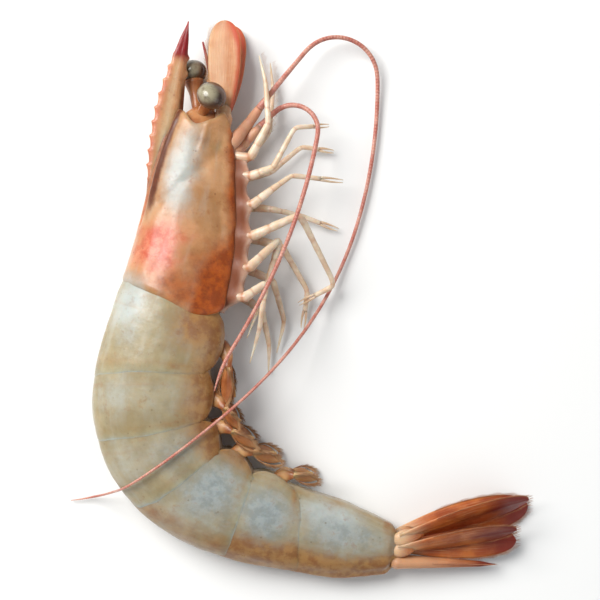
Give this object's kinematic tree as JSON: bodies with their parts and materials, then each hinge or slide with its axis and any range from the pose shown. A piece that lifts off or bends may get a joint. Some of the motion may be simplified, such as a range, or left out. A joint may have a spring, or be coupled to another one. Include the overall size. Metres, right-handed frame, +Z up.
{
  "type": "raw shrimp",
  "caption": "Whole raw shrimp with head, shell, legs and feelers on, lying on its side with its tail curled under towards the belly.",
  "frame": {"origin": "middle of the bounding box's underside, on the surface the shrimp lies on", "axes": "+Z up out of the right side of the body, +Y towards the head, +X towards the belly and the tail fan"},
  "size_m": [0.0974, 0.1166, 0.0172],
  "materials": {
    "head_shell": "wet thin shell over orange-brown flesh, satin gloss",
    "body_shell": "wet thin translucent shell over raw grey-cream flesh, satin gloss",
    "tail_fan": "wet thin orange blades with dark red tips, glossy",
    "eye": "wet black-brown eye, high gloss",
    "antennal_scale": "thin translucent orange blade, satin gloss",
    "feeler": "thin pink stalk, satin",
    "walking_leg": "thin cream shell, satin",
    "swimming_leg": "soft fringed brown and cream paddle, wet"
  },
  "bodies": {
    "root": {"head_shell": "head_shell", "abdomen_1": "body_shell", "abdomen_2": "body_shell", "abdomen_3": "body_shell", "abdomen_4": "body_shell", "abdomen_5": "body_shell", "abdomen_6": "body_shell", "telson": "tail_fan", "uropod_outer_right": "tail_fan", "uropod_inner_right": "tail_fan", "uropod_inner_left": "tail_fan", "uropod_outer_left": "tail_fan", "eye_right": "eye", "eye_left": "eye", "antennal_scale_right": "antennal_scale", "antennal_scale_left": "antennal_scale", "antenna_right": "feeler", "antenna_left": "feeler", "antennule_right": "feeler", "antennule_left": "feeler", "breast": "walking_leg", "maxilliped_right": "walking_leg", "maxilliped_left": "walking_leg", "leg_1_right": "walking_leg", "leg_1_left": "walking_leg", "leg_2_right": "walking_leg", "leg_2_left": "walking_leg", "leg_3_right": "walking_leg", "leg_3_left": "walking_leg", "leg_4_right": "walking_leg", "leg_4_left": "walking_leg", "leg_5_right": "walking_leg", "leg_5_left": "walking_leg", "swimmeret_1_right": "swimming_leg", "swimmeret_1_left": "swimming_leg", "swimmeret_2_right": "swimming_leg", "swimmeret_2_left": "swimming_leg", "swimmeret_3_right": "swimming_leg", "swimmeret_3_left": "swimming_leg", "swimmeret_4_right": "swimming_leg", "swimmeret_4_left": "swimming_leg", "swimmeret_5_right": "swimming_leg", "swimmeret_5_left": "swimming_leg"}
  },
  "joints": []
}
